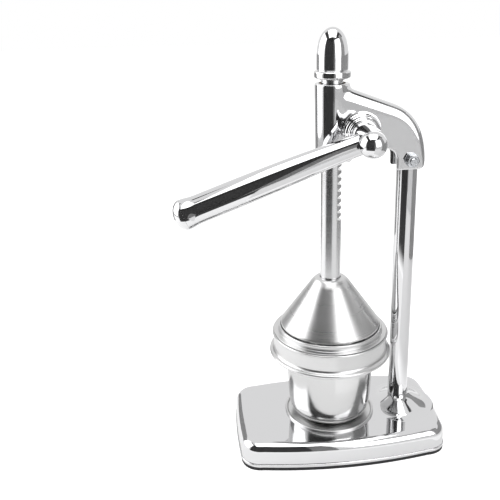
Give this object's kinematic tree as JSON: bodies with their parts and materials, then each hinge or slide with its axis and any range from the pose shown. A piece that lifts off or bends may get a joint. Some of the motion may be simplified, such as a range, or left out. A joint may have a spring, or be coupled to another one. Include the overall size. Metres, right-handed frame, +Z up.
{
  "type": "lever citrus juice press",
  "caption": "Standing citrus press: a side lever turns a pinion that lifts a toothed ram with a conical press head over a fluted reamer, strainer bowl and juice cup on a heavy base.",
  "frame": {"origin": "on the table, under the ram's axis", "axes": "+Z up along the ram, +Y from the ram to the post, +X to the side with the lever"},
  "size_m": [0.1243, 0.2345, 0.3722],
  "materials": {
    "mirror_chrome": "mirror polished chrome plate",
    "satin_steel": "satin stainless steel with fine turning marks",
    "cast_aluminium": "fine cast aluminium",
    "zinc_steel": "bright zinc-plated steel",
    "bronze": "oiled sintered bronze",
    "black_rubber": "matt black rubber"
  },
  "bodies": {
    "frame": {"base_casting": "mirror_chrome", "base_sole": "black_rubber", "cup_seat": "satin_steel", "post": "mirror_chrome", "post_washer": "zinc_steel", "post_screw": "zinc_steel", "head_casting": "mirror_chrome", "guide_bush_upper": "bronze", "guide_bush_lower": "bronze", "pinion_bush_near": "bronze", "pinion_bush_far": "bronze", "head_bolt": "zinc_steel", "head_washer_near": "zinc_steel", "head_washer_far": "zinc_steel", "head_nut": "zinc_steel", "juice_cup": "satin_steel", "bowl": "satin_steel", "strainer": "satin_steel"},
    "lever": {"pinion_gear": "zinc_steel", "pinion_key": "zinc_steel", "pinion_shaft": "zinc_steel", "shaft_washer": "zinc_steel", "shaft_ring": "zinc_steel", "lever_arm": "mirror_chrome", "lever_end_cap": "mirror_chrome", "lever_set_screw": "zinc_steel"},
    "ram": {"ram_rack": "mirror_chrome", "ram_knob": "mirror_chrome", "press_cone": "satin_steel", "press_cup": "cast_aluminium", "press_washer": "zinc_steel", "press_nut": "zinc_steel"}
  },
  "joints": [
    {"name": "lever_hinge", "type": "hinge", "parent": "frame", "child": "lever", "pos_m": [0, 0.0225, 0.289], "axis": [-1, 0, 0], "range_deg": [0, 180]},
    {"name": "ram_slide", "type": "slide", "parent": "frame", "child": "ram", "axis": [0, 0, 1], "range_m": [0, 0.0505]}
  ],
  "couplings": [
    {"joint": "ram_slide", "follows": "lever_hinge", "m_per_rad": 0.016}
  ]
}
